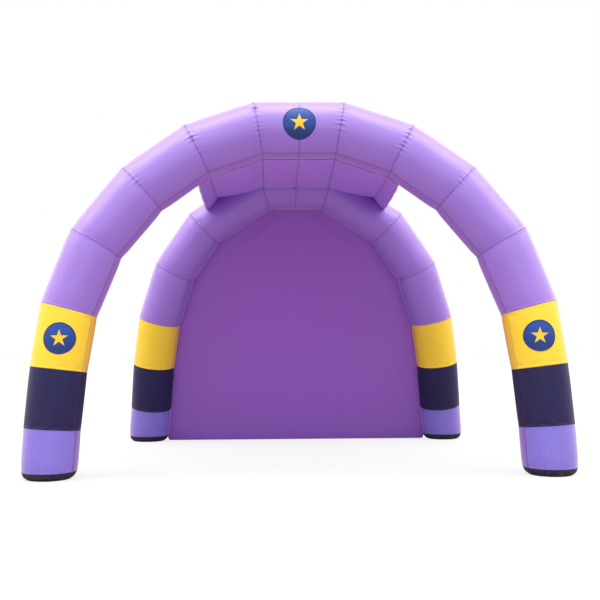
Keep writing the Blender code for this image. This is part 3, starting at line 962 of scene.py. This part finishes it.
@dataclass
class Roof:
    """Six air-filled panels between the arches, sewn to each other along seams that run front to back."""

    front: Arch
    rear: Arch
    seams: tuple[RoofSeam, ...] = (
        RoofSeam("middle", 0.0, 4.78, 0.46, 0.27),
        RoofSeam("inner", 0.60, 4.77, 0.46, 0.27),
        RoofSeam("outer", 1.45, 4.61, 0.44, 0.03),
        RoofSeam("edge", 1.65, 4.38, 0.17, 0.08),
    )
    edge_width: float = 0.22
    edge_bulge: float = 0.04
    swell_below: float = 0.025
    swell_above: float = 0.05
    along: tuple[float, ...] = (0.0, 0.05, 0.14, 0.36, 0.64, 0.86, 1.0)
    below: tuple[float, ...] = (0.10, 0.0, -0.025, -0.04, -0.04, -0.025, 0.0)
    above: tuple[float, ...] = (0.0, 0.02, 0.06, 0.11, 0.11, 0.07, 0.0)
    columns: int = 16
    levels: int = 7
    rows: int = 40
    cap: float = 0.014

    def lines(self) -> list[SeamLine]:
        """The seams' lines from the middle out, on the right-hand side."""
        crown = self.front.count // 2
        spots = [(crown, 0.0), (crown + 1, 0.0), (crown + 2, 0.0), (crown + 2, self.edge_width)]
        angle = np.array([SECTION.strip_middle + SECTION.strip_half])
        lines = []
        for (index, along), seam in zip(spots, self.seams):
            spot = self.front.length_grid(index, np.array([along]), angle)[0][0, 0]
            x = 0.0 if seam.rear_x == 0.0 else spot[0]
            lines.append(SeamLine(seam.name, (x, seam.rear_x), (spot[1], self.rear.plane_y(seam.rear_z)),
                                  (spot[2], seam.rear_z), (spot[2] + seam.front_depth, seam.rear_z + seam.rear_depth)))
        return lines

    def smooth(self, table: tuple[float, ...], along: np.ndarray) -> np.ndarray:
        """A column of the depth's table, eased from one row to the next."""
        place = np.clip(np.searchsorted(self.along, along, side="right") - 1, 0, len(self.along) - 2)
        low, high = np.array(self.along)[place], np.array(self.along)[place + 1]
        share = np.clip((along - low) / (high - low), 0.0, 1.0)
        values = np.array(table)
        slopes = np.gradient(values, self.along)
        a, b = values[place], values[place + 1]
        width = high - low
        return (a * (1 + 2 * share) * (1 - share) ** 2 + b * share ** 2 * (3 - 2 * share)
                + slopes[place] * width * share * (1 - share) ** 2 + slopes[place + 1] * width * share ** 2 * (share - 1))

    def points(self, inner: SeamLine, outer: SeamLine, share: np.ndarray, level: np.ndarray, along: np.ndarray) -> np.ndarray:
        """Points of a right-hand panel.

        Args:
            inner: Its seam nearer the middle.
            outer: Its seam further out.
            share: From 0 at the inner seam to 1 at the outer.
            level: From 0 at the underside to 1 at the top.
            along: From 0 at the front arch's plane to 1 at the rear arch's.

        Returns:
            World points.
        """
        swell = 4 * share * (1 - share)
        ends = {}
        for title in ("low", "high"):
            first = getattr(inner, title)[0] + (getattr(inner, title)[1] - getattr(inner, title)[0]) * along
            second = getattr(outer, title)[0] + (getattr(outer, title)[1] - getattr(outer, title)[0]) * along
            ends[title] = first + (second - first) * share
        below, above = self.smooth(self.below, along), self.smooth(self.above, along)
        if outer.name == "edge":
            above = above + (below - above) * share
        low = ends["low"] + below - self.swell_below * swell
        high = ends["high"] + above + self.swell_above * swell
        height = low + (high - low) * level
        depth = self.front.plane_y(height) * (1 - along) + self.rear.plane_y(height) * along
        start, stop = inner.across(depth) + GAP / 2, outer.across(depth) - GAP / 2
        across = start + (stop - start) * share
        if outer.name == "edge":
            across = across + self.edge_bulge * 4 * level * (1 - level) * share ** 6
        return np.stack([across, depth, height], axis=-1)

    def reach(self, inner: SeamLine, outer: SeamLine, tube: BVHTree, end: float) -> np.ndarray:
        """How far along its depth each line of a panel gets before it meets a tube.

        Args:
            inner: The panel's seam nearer the middle.
            outer: Its seam further out.
            tube: The arch's surface.
            end: 0 for the front arch and 1 for the rear.

        Returns:
            Share of the depth for each column and level.
        """
        found = np.full((self.columns + 1, self.levels + 1), float(end))
        tries = np.linspace(0.5, end, 60)
        for i in range(self.columns + 1):
            for j in range(self.levels + 1):
                share, level = np.float64(i / self.columns), np.float64(j / self.levels)
                clear = lambda along: self.off_tube(tube, self.points(inner, outer, share, level, np.float64(along))) - 2 * GAP
                hit = next((k for k, along in enumerate(tries) if clear(along) < 0), None)
                if hit:
                    free, met = tries[hit - 1], tries[hit]
                    for _ in range(12):
                        middle = (free + met) / 2
                        free, met = (free, middle) if clear(middle) < 0 else (middle, met)
                    found[i, j] = free
        return found

    @staticmethod
    def off_tube(tube: BVHTree, point: np.ndarray) -> float:
        """Distance of a point from a tube's surface, less than 0 inside it."""
        spot, normal, _, _ = tube.find_nearest(Vector(point))
        return (Vector(point) - spot).dot(normal)

    def build_panel(self, inner: SeamLine, outer: SeamLine, sign: int, tubes: tuple[BVHTree, BVHTree], inflation: Inflation) -> bpy.types.Object:
        """Closed panel between its seams and both tubes, ready to be inflated."""
        ends = [self.reach(inner, outer, tube, end) for tube, end in zip(tubes, (0.0, 1.0))]
        places, faces, numbers = self.box_surface()
        i, j, k = places.T
        begin, finish = ends[0][i, j], ends[1][i, j]
        row_share = k / self.rows
        eased = row_share + 0.35 * np.sin(2 * math.pi * row_share) / (2 * math.pi) * -1
        along = begin + (finish - begin) * eased
        points = self.points(inner, outer, i / self.columns, j / self.levels, along)
        points[:, 0] *= sign
        side = "left" if sign < 0 else "right"
        faces = [quad[::-1] for quad in faces] if sign < 0 else faces
        node = f"roof_{side}_{outer.name}"
        piece = add_piece(f"{node}_cloth", points, faces)
        mesh = piece.data
        width = np.linalg.norm(points.max(0)[:1] - points.min(0)[:1])
        off_side = np.minimum(i, self.columns - i) / self.columns * width
        off_end = np.minimum(k, self.rows - k) / self.rows * np.ptp(points[:, 1])
        outer_rim = (i == self.columns) & (outer.name == "edge")
        set_number(mesh, "off_long_seam", np.where(outer_rim, np.minimum(j, self.levels - j) * 0.03, off_side))
        set_number(mesh, "off_ring_seam", off_end)
        set_number(mesh, "soffit", np.zeros(len(points)))
        corners = np.zeros(len(mesh.loops), np.int32)
        mesh.loops.foreach_get("vertex_index", corners)
        set_uv(mesh, "cloth", points[corners][:, :2])
        held = np.where(numbers > 1, 1.0, 0.0)
        hidden = ((k == 0) | (k == self.rows) | (i == 0) | ((i == self.columns) & (outer.name != "edge")))
        inflation.add(piece, np.where(hidden, 1.0, held), self.cap)
        return piece

    def box_surface(self) -> tuple[np.ndarray, list[tuple[int, ...]], np.ndarray]:
        """Grid over the outside of a box of columns, levels and rows.

        Returns:
            The places of its points, its quads, and on how many of the box's sides each point lies.
        """
        sizes = (self.columns, self.levels, self.rows)
        found: dict[tuple[int, int, int], int] = {}
        faces = []
        for axis in range(3):
            first, second = (axis + 1) % 3, (axis + 2) % 3
            for end in (0, sizes[axis]):
                for a in range(sizes[first]):
                    for b in range(sizes[second]):
                        quad = []
                        for da, db in ((0, 0), (1, 0), (1, 1), (0, 1)):
                            spot = [0, 0, 0]
                            spot[axis], spot[first], spot[second] = end, a + da, b + db
                            quad.append(found.setdefault(tuple(spot), len(found)))
                        faces.append(tuple(quad if end else quad[::-1]))
        places = np.array(list(found))
        sides = sum(((places[:, n] == 0) | (places[:, n] == sizes[n])).astype(int) for n in range(3))
        return places, faces, sides

    def finish_panel(self, piece: bpy.types.Object) -> None:
        """Refine an inflated panel, with its seams kept narrow."""
        mesh = piece.data
        pick(piece)
        bpy.ops.object.mode_set(mode="EDIT")
        bpy.ops.mesh.select_all(action="DESELECT")
        bpy.ops.mesh.edges_select_sharp(sharpness=math.radians(38.0))
        bpy.ops.transform.edge_crease(value=0.75)
        bpy.ops.object.mode_set(mode="OBJECT")
        refine(piece)
        mesh.update()
        finish_form(piece, 55.0)


def tube_surface(arch: Arch) -> BVHTree:
    """An arch's surface as one shape, for finding what touches it."""
    points, faces = [], []
    for index in range(arch.count):
        rows, columns = len(arch.steps(index)), len(SECTION.angles())
        base = len(points)
        grid = arch.length_grid(index, arch.steps(index), SECTION.angles(), TUBE_SWELL)[0]
        points += [Vector(point) for point in grid.reshape(-1, 3)]
        faces += [tuple(base + k for k in quad) for quad in grid_faces(rows, columns, True)]
    tree = BVHTree.FromPolygons(points, faces)
    spot, normal, _, _ = tree.find_nearest(Vector(arch.world(arch.stations[arch.count // 2], np.float64(1.0))))
    if normal.dot(Vector(arch.front)) < 0:
        tree = BVHTree.FromPolygons(points, [quad[::-1] for quad in faces])
    return tree


# The back wall


@dataclass
class BackWall:
    """Flat cloth that fills the rear arch from the floor to its soffit, with a sewn hem."""

    rear: Arch
    thickness: float = 0.003
    columns: int = 64
    rows: int = 56
    cap: float = 0.006
    search: float = 0.03
    middle_height: float = 2.6

    def build(self, inflation: Inflation) -> bpy.types.Object:
        """Single layer of cloth, ready to be drawn tight."""
        line, bends = self.rear.inner_line()
        corner = int(np.argmax(line[:, 0] > -self.rear.crown_half))
        side, top = line[:corner], line[corner - 1:]
        crown_rise = side[-1, 1]
        shares = np.linspace(0.0, 1.0, self.rows + 1)
        for bend in bends:
            shares[np.argmin(np.abs(shares - bend / crown_rise))] = min(1.0, bend / crown_rise)
        across = np.linspace(-1.0, 1.0, self.columns + 1)
        grid = np.zeros((self.rows + 1, self.columns + 1, 2))
        for k, share in enumerate(shares):
            half = -np.interp(share * crown_rise, side[:, 1], side[:, 0])
            x = across * half
            ceiling = np.interp(-np.abs(x), top[:, 0], top[:, 1])
            grid[k] = np.stack([x, share * crown_rise + share ** 12 * (ceiling - crown_rise)], axis=-1)
        points = self.rear.world(grid, np.zeros(grid.shape[:2]))
        piece = add_piece("back_wall_cloth", points, grid_faces(self.rows + 1, self.columns + 1, False))
        mesh = piece.data
        edge = np.minimum((1 - np.abs(across))[None, :] * (-side[0, 0]), np.full((self.rows + 1, 1), 9.0))
        edge = np.minimum(edge, ((1 - shares) * crown_rise)[:, None])
        set_number(mesh, "off_ring_seam", (shares * crown_rise)[:, None] + np.zeros(len(across)))
        set_number(mesh, "off_long_seam", edge)
        set_number(mesh, "soffit", np.zeros(edge.size))
        corners = np.zeros(len(mesh.loops), np.int32)
        mesh.loops.foreach_get("vertex_index", corners)
        set_uv(mesh, "cloth", grid.reshape(-1, 2)[corners])
        held = np.zeros(grid.shape[:2])
        held[0] = held[-1] = 1.0
        held[:, 0] = held[:, -1] = 1.0
        inflation.add(piece, held.ravel(), self.cap)
        return piece

    def meet(self, piece: bpy.types.Object, tubes: bpy.types.Object) -> None:
        """Draw the cloth's rim to just short of the inflated tubes.

        Args:
            piece: The wall, still without its thickness.
            tubes: The rear arch's finished lengths as one object.
        """
        tree = BVHTree.FromObject(tubes, bpy.context.evaluated_depsgraph_get())
        points = get_points(piece.data)
        for k in np.nonzero(get_number(piece.data, "off_long_seam") < 1e-5)[0]:
            spot = Vector(points[k])
            inward = Vector((0.0, spot.y, min(spot.z, self.middle_height)))
            inward.y += self.rear.plane_y(inward.z) - self.rear.plane_y(spot.z)
            outward = (spot - inward).normalized()
            hit, _, _, _ = tree.ray_cast(spot - outward * self.search, outward, 2 * self.search)
            if hit is not None and (hit - spot).length < self.search / 2:
                points[k] = hit - outward * 2 * GAP
        set_points(piece.data, points)

    def finish(self, piece: bpy.types.Object, tubes: bpy.types.Object) -> None:
        """Refine the cloth, fit it to the tubes and give it its thickness."""
        refine(piece)
        self.meet(piece, tubes)
        pick(piece)
        wall = piece.modifiers.new("thickness", "SOLIDIFY")
        wall.thickness = self.thickness
        wall.offset = 0.0
        bpy.ops.object.modifier_apply(modifier=wall.name)
        points = get_points(piece.data)
        points[:, 2] = np.maximum(points[:, 2], 0.0)
        set_points(piece.data, points)
        finish_form(piece, 40.0)


# The badges


@dataclass
class Badge:
    """Round cloth badge with a rolled hem, laid on the front arch's tube."""

    node: str
    radius: float
    centre: Vector
    facing: Vector
    thickness: float = 0.0022
    clearance: float = 0.0022
    hem: float = 0.020
    sides: int = 96
    rings: int = 12

    def build(self, surface: bpy.types.Object) -> bpy.types.Object:
        """Model the badge flat, lay it on the tube and thicken it.

        Args:
            surface: The front arch's finished cloth, joined for laying things on it.

        Returns:
            The finished badge.
        """
        bpy.ops.object.select_all(action="DESELECT")
        turn = Vector((0.0, 0.0, 1.0)).rotation_difference(self.facing).to_matrix()
        up = turn @ Vector((0.0, 1.0, 0.0))
        upright = Vector((0.0, 0.0, 1.0)) - self.facing * self.facing.z
        spin = up.angle(upright) * math.copysign(1.0, up.cross(upright).dot(self.facing))
        turn = Matrix.Rotation(spin, 3, self.facing) @ turn
        bpy.ops.mesh.primitive_circle_add(vertices=self.sides, radius=self.radius, fill_type="NGON")
        piece = bpy.context.active_object
        piece.name = piece.data.name = f"{self.node}_cloth"
        bpy.ops.object.mode_set(mode="EDIT")
        bpy.ops.mesh.select_all(action="SELECT")
        bpy.ops.mesh.inset(thickness=self.hem * 0.3)
        bpy.ops.mesh.inset(thickness=self.hem * 0.4)
        bpy.ops.mesh.inset(thickness=self.hem * 0.3)
        for _ in range(self.rings - 1):
            bpy.ops.mesh.inset(thickness=(self.radius - self.hem) / self.rings)
        bpy.ops.mesh.poke()
        bpy.ops.object.mode_set(mode="OBJECT")
        flat = get_points(piece.data)
        self.mark(piece.data, flat)
        matrix = turn.to_4x4()
        matrix.translation = self.centre + self.facing * 0.08
        piece.data.transform(matrix)
        self.lay(piece, surface, flat)
        return piece

    def mark(self, mesh: bpy.types.Mesh, flat: np.ndarray) -> None:
        """Store the flat disc's places and its hem on the mesh."""
        for layer in list(mesh.uv_layers):
            mesh.uv_layers.remove(layer)
        corners = np.zeros(len(mesh.loops), np.int32)
        mesh.loops.foreach_get("vertex_index", corners)
        reach = np.linalg.norm(flat[:, :2], axis=1)
        turned = np.arctan2(flat[:, 1], flat[:, 0]) * self.radius
        set_uv(mesh, "disc", flat[corners][:, :2] / self.radius)
        set_uv(mesh, "cloth", flat[corners][:, :2])
        set_number(mesh, "off_ring_seam", np.full(len(flat), 1.0))
        set_number(mesh, "off_long_seam", np.full(len(flat), 1.0))
        set_number(mesh, "soffit", np.clip((reach - (self.radius - self.hem)) / (0.15 * self.hem), 0.0, 1.0))
        set_number(mesh, "round_way", turned)

    def lay(self, piece: bpy.types.Object, surface: bpy.types.Object, flat: np.ndarray) -> None:
        """Project the badge on the tube, roll its hem and give it thickness."""
        pick(piece)
        tree = BVHTree.FromObject(surface, bpy.context.evaluated_depsgraph_get())
        points = get_points(piece.data)
        reach = np.linalg.norm(flat[:, :2], axis=1)
        for k, point in enumerate(points):
            casts = (tree.ray_cast(Vector(point) + Vector((aside, 0.0, 0.0)), -self.facing, 0.6) for aside in (0.0, 0.002))
            hit, normal = next((hit, normal) for hit, normal, _, _ in casts if hit)
            points[k] = hit + normal * self.clearance
        roll = np.clip(1 - np.abs(reach - (self.radius - 0.45 * self.hem)) / (0.6 * self.hem), 0.0, 1.0)
        points += np.array(self.facing) * (0.0022 * roll ** 2)[:, None]
        set_points(piece.data, points)
        shell = piece.modifiers.new("thickness", "SOLIDIFY")
        shell.thickness = self.thickness
        shell.offset = 1.0
        bpy.ops.object.modifier_apply(modifier=shell.name)
        refine(piece)
        finish_form(piece, 60.0)


# The studio


@dataclass
class Studio:
    """Plain pale floor, soft light from above and the camera at the photograph's angle."""

    lens: float = 49.1
    place: tuple[float, float, float] = (-0.24, -13.91, 1.78)
    pitch: float = 3.39
    yaw: float = 1.17
    roll: float = -0.35
    floor_side: float = 260.0

    def build(self) -> None:
        """Add the floor, the lights and the camera."""
        self.add_floor()
        self.add_world()
        self.add_sun("left_light", 1.5, 44.0, (-40.0, 10.0), (1.0, 1.0, 0.88))
        self.add_sun("right_light", 1.4, 44.0, (40.0, 10.0), (1.0, 1.0, 0.88))
        self.add_sun("top_light", 1.7, 44.0, (0.0, 10.0), (1.0, 1.0, 0.74))
        self.add_sun("front_fill", 0.6, 60.0, (0.0, 66.0), (0.40, 0.95, 1.0))
        self.add_camera()
        bpy.context.scene.view_settings.view_transform = "Standard"

    def add_floor(self) -> None:
        """Floor of white paper, lit evenly enough to leave only faint shadows."""
        bpy.ops.object.select_all(action="DESELECT")
        bpy.ops.mesh.primitive_plane_add(size=self.floor_side, location=(0.0, 0.0, -0.0005))
        floor = bpy.context.active_object
        floor.name = "studio_floor"
        material = bpy.data.materials.new("floor_paper")
        material.use_nodes = True
        nodes = Nodes(material.node_tree)
        shader = material.node_tree.nodes["Principled BSDF"]
        shader.inputs["Roughness"].default_value = 0.9
        seen = nodes.add("ShaderNodeLightPath").outputs["Is Camera Ray"]
        colour = nodes.blend(seen, (0.47, 0.37, 0.43, 1.0), (0.12, 0.12, 0.12, 1.0))
        material.node_tree.links.new(colour, shader.inputs["Base Color"])
        glow = nodes.blend(seen, (0.0, 0.0, 0.0, 1.0), (0.76, 0.76, 0.76, 1.0))
        material.node_tree.links.new(glow, shader.inputs["Emission Color"])
        shader.inputs["Emission Strength"].default_value = 1.0
        floor.data.materials.append(material)

    def add_world(self) -> None:
        """White surroundings, softer as a light than as a backdrop."""
        world = bpy.data.worlds.new("studio")
        world.use_nodes = True
        bpy.context.scene.world = world
        nodes = Nodes(world.node_tree)
        path = nodes.add("ShaderNodeLightPath").outputs
        background = world.node_tree.nodes["Background"]
        colour = nodes.blend(path["Is Glossy Ray"], (0.62, 0.56, 0.60, 1.0), (1.5, 1.45, 1.5, 1.0))
        colour = nodes.blend(path["Is Camera Ray"], colour, (1.0, 1.0, 1.0, 1.0))
        world.node_tree.links.new(colour, background.inputs["Color"])

    def add_sun(self, name: str, strength: float, width: float, turn: tuple[float, float], colour: tuple[float, float, float]) -> None:
        """Add one broad, even light.

        Args:
            name: Its name.
            strength: Its strength.
            width: Its width in degrees.
            turn: How far it leans from straight down towards +X and towards the front, in degrees.
            colour: Its colour.
        """
        bpy.ops.object.light_add(type="SUN", location=(0.0, 0.0, 12.0))
        lamp = bpy.context.active_object
        lamp.name = name
        lamp.data.energy = strength
        lamp.data.angle = math.radians(width)
        lamp.data.color = colour
        lamp.rotation_euler = (math.radians(turn[1]), math.radians(turn[0]), 0.0)

    def add_camera(self) -> None:
        """Camera fitted to the photograph."""
        bpy.ops.object.camera_add(location=self.place)
        camera = bpy.context.active_object
        camera.name = "photo_camera"
        camera.data.lens = self.lens
        camera.data.sensor_width = 36.0
        turn = Matrix.Rotation(math.radians(-self.yaw), 3, "Z") @ Matrix.Rotation(math.radians(90.0 + self.pitch), 3, "X")
        turn = turn @ Matrix.Rotation(math.radians(self.roll), 3, "Z")
        camera.rotation_euler = turn.to_euler()
        bpy.context.scene.camera = camera


# The whole object


@dataclass
class InflatableArch:
    """Both arches, the roof, the back wall and the badges."""

    crown_badge_radius: float = 0.235
    leg_badge_radius: float = 0.22
    leg_badge_turn: float = math.radians(5.0)

    def __post_init__(self) -> None:
        """Set out the sub-assemblies and the finishes."""
        self.front = Arch("front", FRONT_ROWS, math.radians(3.0), 0.415, seed=11)
        self.rear = Arch("rear", REAR_ROWS, math.radians(-12.0), 0.390, seed=71)
        self.roof = Roof(self.front, self.rear)
        self.wall = BackWall(self.rear)
        groups = Groups()
        self.materials = {cloth: cloth.value.material(groups) for cloth in Cloth}

    def build(self) -> None:
        """Build and dress every piece."""
        inflation = Inflation()
        for arch in (self.front, self.rear):
            for index in range(arch.count):
                arch.build_length(index, inflation)
        panels = self.start_roof(inflation)
        inflation.run()
        drawing = Inflation(pressure=0.02, slack=0.0015, frames=10)
        wall = self.wall.build(drawing)
        drawing.run()
        for arch in (self.front, self.rear):
            self.finish_arch(arch)
        for node, piece in panels:
            self.roof.finish_panel(piece)
            dress(piece, self.materials[Cloth.ROOF], node)
            self.report(piece, node)
        around = [node for node, _ in self.rear.nodes()] + ["rear_left_foot_pad", "rear_right_foot_pad"]
        tubes = self.joined(tuple(around))
        self.wall.finish(wall, tubes)
        bpy.data.objects.remove(tubes)
        dress(wall, self.materials[Cloth.WALL], "back_wall")
        holders = [f"{node}_cloth" for node, _ in self.rear.nodes()]
        self.report(wall, "back_wall")
        self.build_badges()

    def start_roof(self, inflation: Inflation) -> list[tuple[str, bpy.types.Object]]:
        """Set out the six roof panels.

        Args:
            inflation: What blows them up.

        Returns:
            Each panel's solid and piece.
        """
        tubes = (tube_surface(self.front), tube_surface(self.rear))
        lines = self.roof.lines()
        panels = []
        for inner, outer in zip(lines, lines[1:]):
            for side, sign in (("left", -1), ("right", 1)):
                piece = self.roof.build_panel(inner, outer, sign, tubes, inflation)
                panels.append((f"roof_{side}_{outer.name}", piece))
        return panels

    def finish_arch(self, arch: Arch) -> None:
        """Finish and dress an arch's lengths and pads."""
        for index, (node, cloth) in enumerate(arch.nodes()):
            piece = arch.finish_length(index)
            dress(piece, self.materials[cloth], node)
            self.report(piece, node)
        for side, right in (("left", False), ("right", True)):
            node = f"{arch.name}_{side}_foot_pad"
            piece = arch.build_pad(right)
            dress(piece, self.materials[Cloth.PAD], node)
            self.report(piece, node)

    def build_badges(self) -> None:
        """Lay a badge on the crown and one on each front leg's yellow band."""
        names = [node for node, _ in self.front.nodes()]
        crown = self.front.stations[self.front.count // 2]
        spots = [("badge_crown", self.crown_badge_radius, crown, 0.0, np.array((0.0, -1.0)),
                  ("front_left_crown", "front_right_crown"))]
        for side in ("left", "right"):
            node = f"front_{side}_yellow_band"
            index = names.index(node)
            middle = (self.front.stations[index] + self.front.stations[index + 1]) / 2
            spots.append((f"badge_{side}", self.leg_badge_radius, middle, self.leg_badge_turn,
                          self.front.direction(index)[1], (node,)))
        for node, radius, spot, angle, inward, under in spots:
            facing = self.front.front * math.cos(angle) + np.array((inward[0], 0.0, 0.0)) * math.sin(angle)
            facing = Vector(facing + self.front.up * inward[1] * math.sin(angle))
            centre = Vector(self.front.world(spot, np.float64(0.0))) + facing * self.front.middle_radius
            surface = self.joined(under)
            badge = Badge(node, radius, centre, facing).build(surface)
            bpy.data.objects.remove(surface)
            dress(badge, self.materials[Cloth.BADGE], node)
            self.report(badge, node)

    @staticmethod
    def joined(nodes: tuple[str, ...]) -> bpy.types.Object:
        """A throwaway copy of some pieces as one object."""
        copies = []
        for node in nodes:
            source = bpy.data.objects[f"{node}_cloth"]
            copy = bpy.data.objects.new("under_badge", source.data.copy())
            bpy.context.scene.collection.objects.link(copy)
            copies.append(copy)
        if len(copies) > 1:
            pick(*copies)
            bpy.ops.object.join()
        bpy.context.view_layer.update()
        return copies[0]

    @staticmethod
    def report(piece: bpy.types.Object, node: str) -> None:
        """Log a piece's size, and how far its box is from its solid's."""
        points = get_points(piece.data)
        low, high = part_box(node)
        beyond = np.round(np.concatenate([np.array(low) - points.min(0), points.max(0) - np.array(high)]) * 1000, 1)
        LOG.info("%s: %d triangles, beyond its solid's box by %s mm", piece.name,
                 sum(len(face.vertices) - 2 for face in piece.data.polygons), beyond.tolist())


def main() -> None:
    """Build the whole scene."""
    logging.basicConfig(level=logging.INFO, format="%(message)s")
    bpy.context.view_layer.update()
    Studio().build()
    InflatableArch().build()


if __name__ == "__main__":
    main()
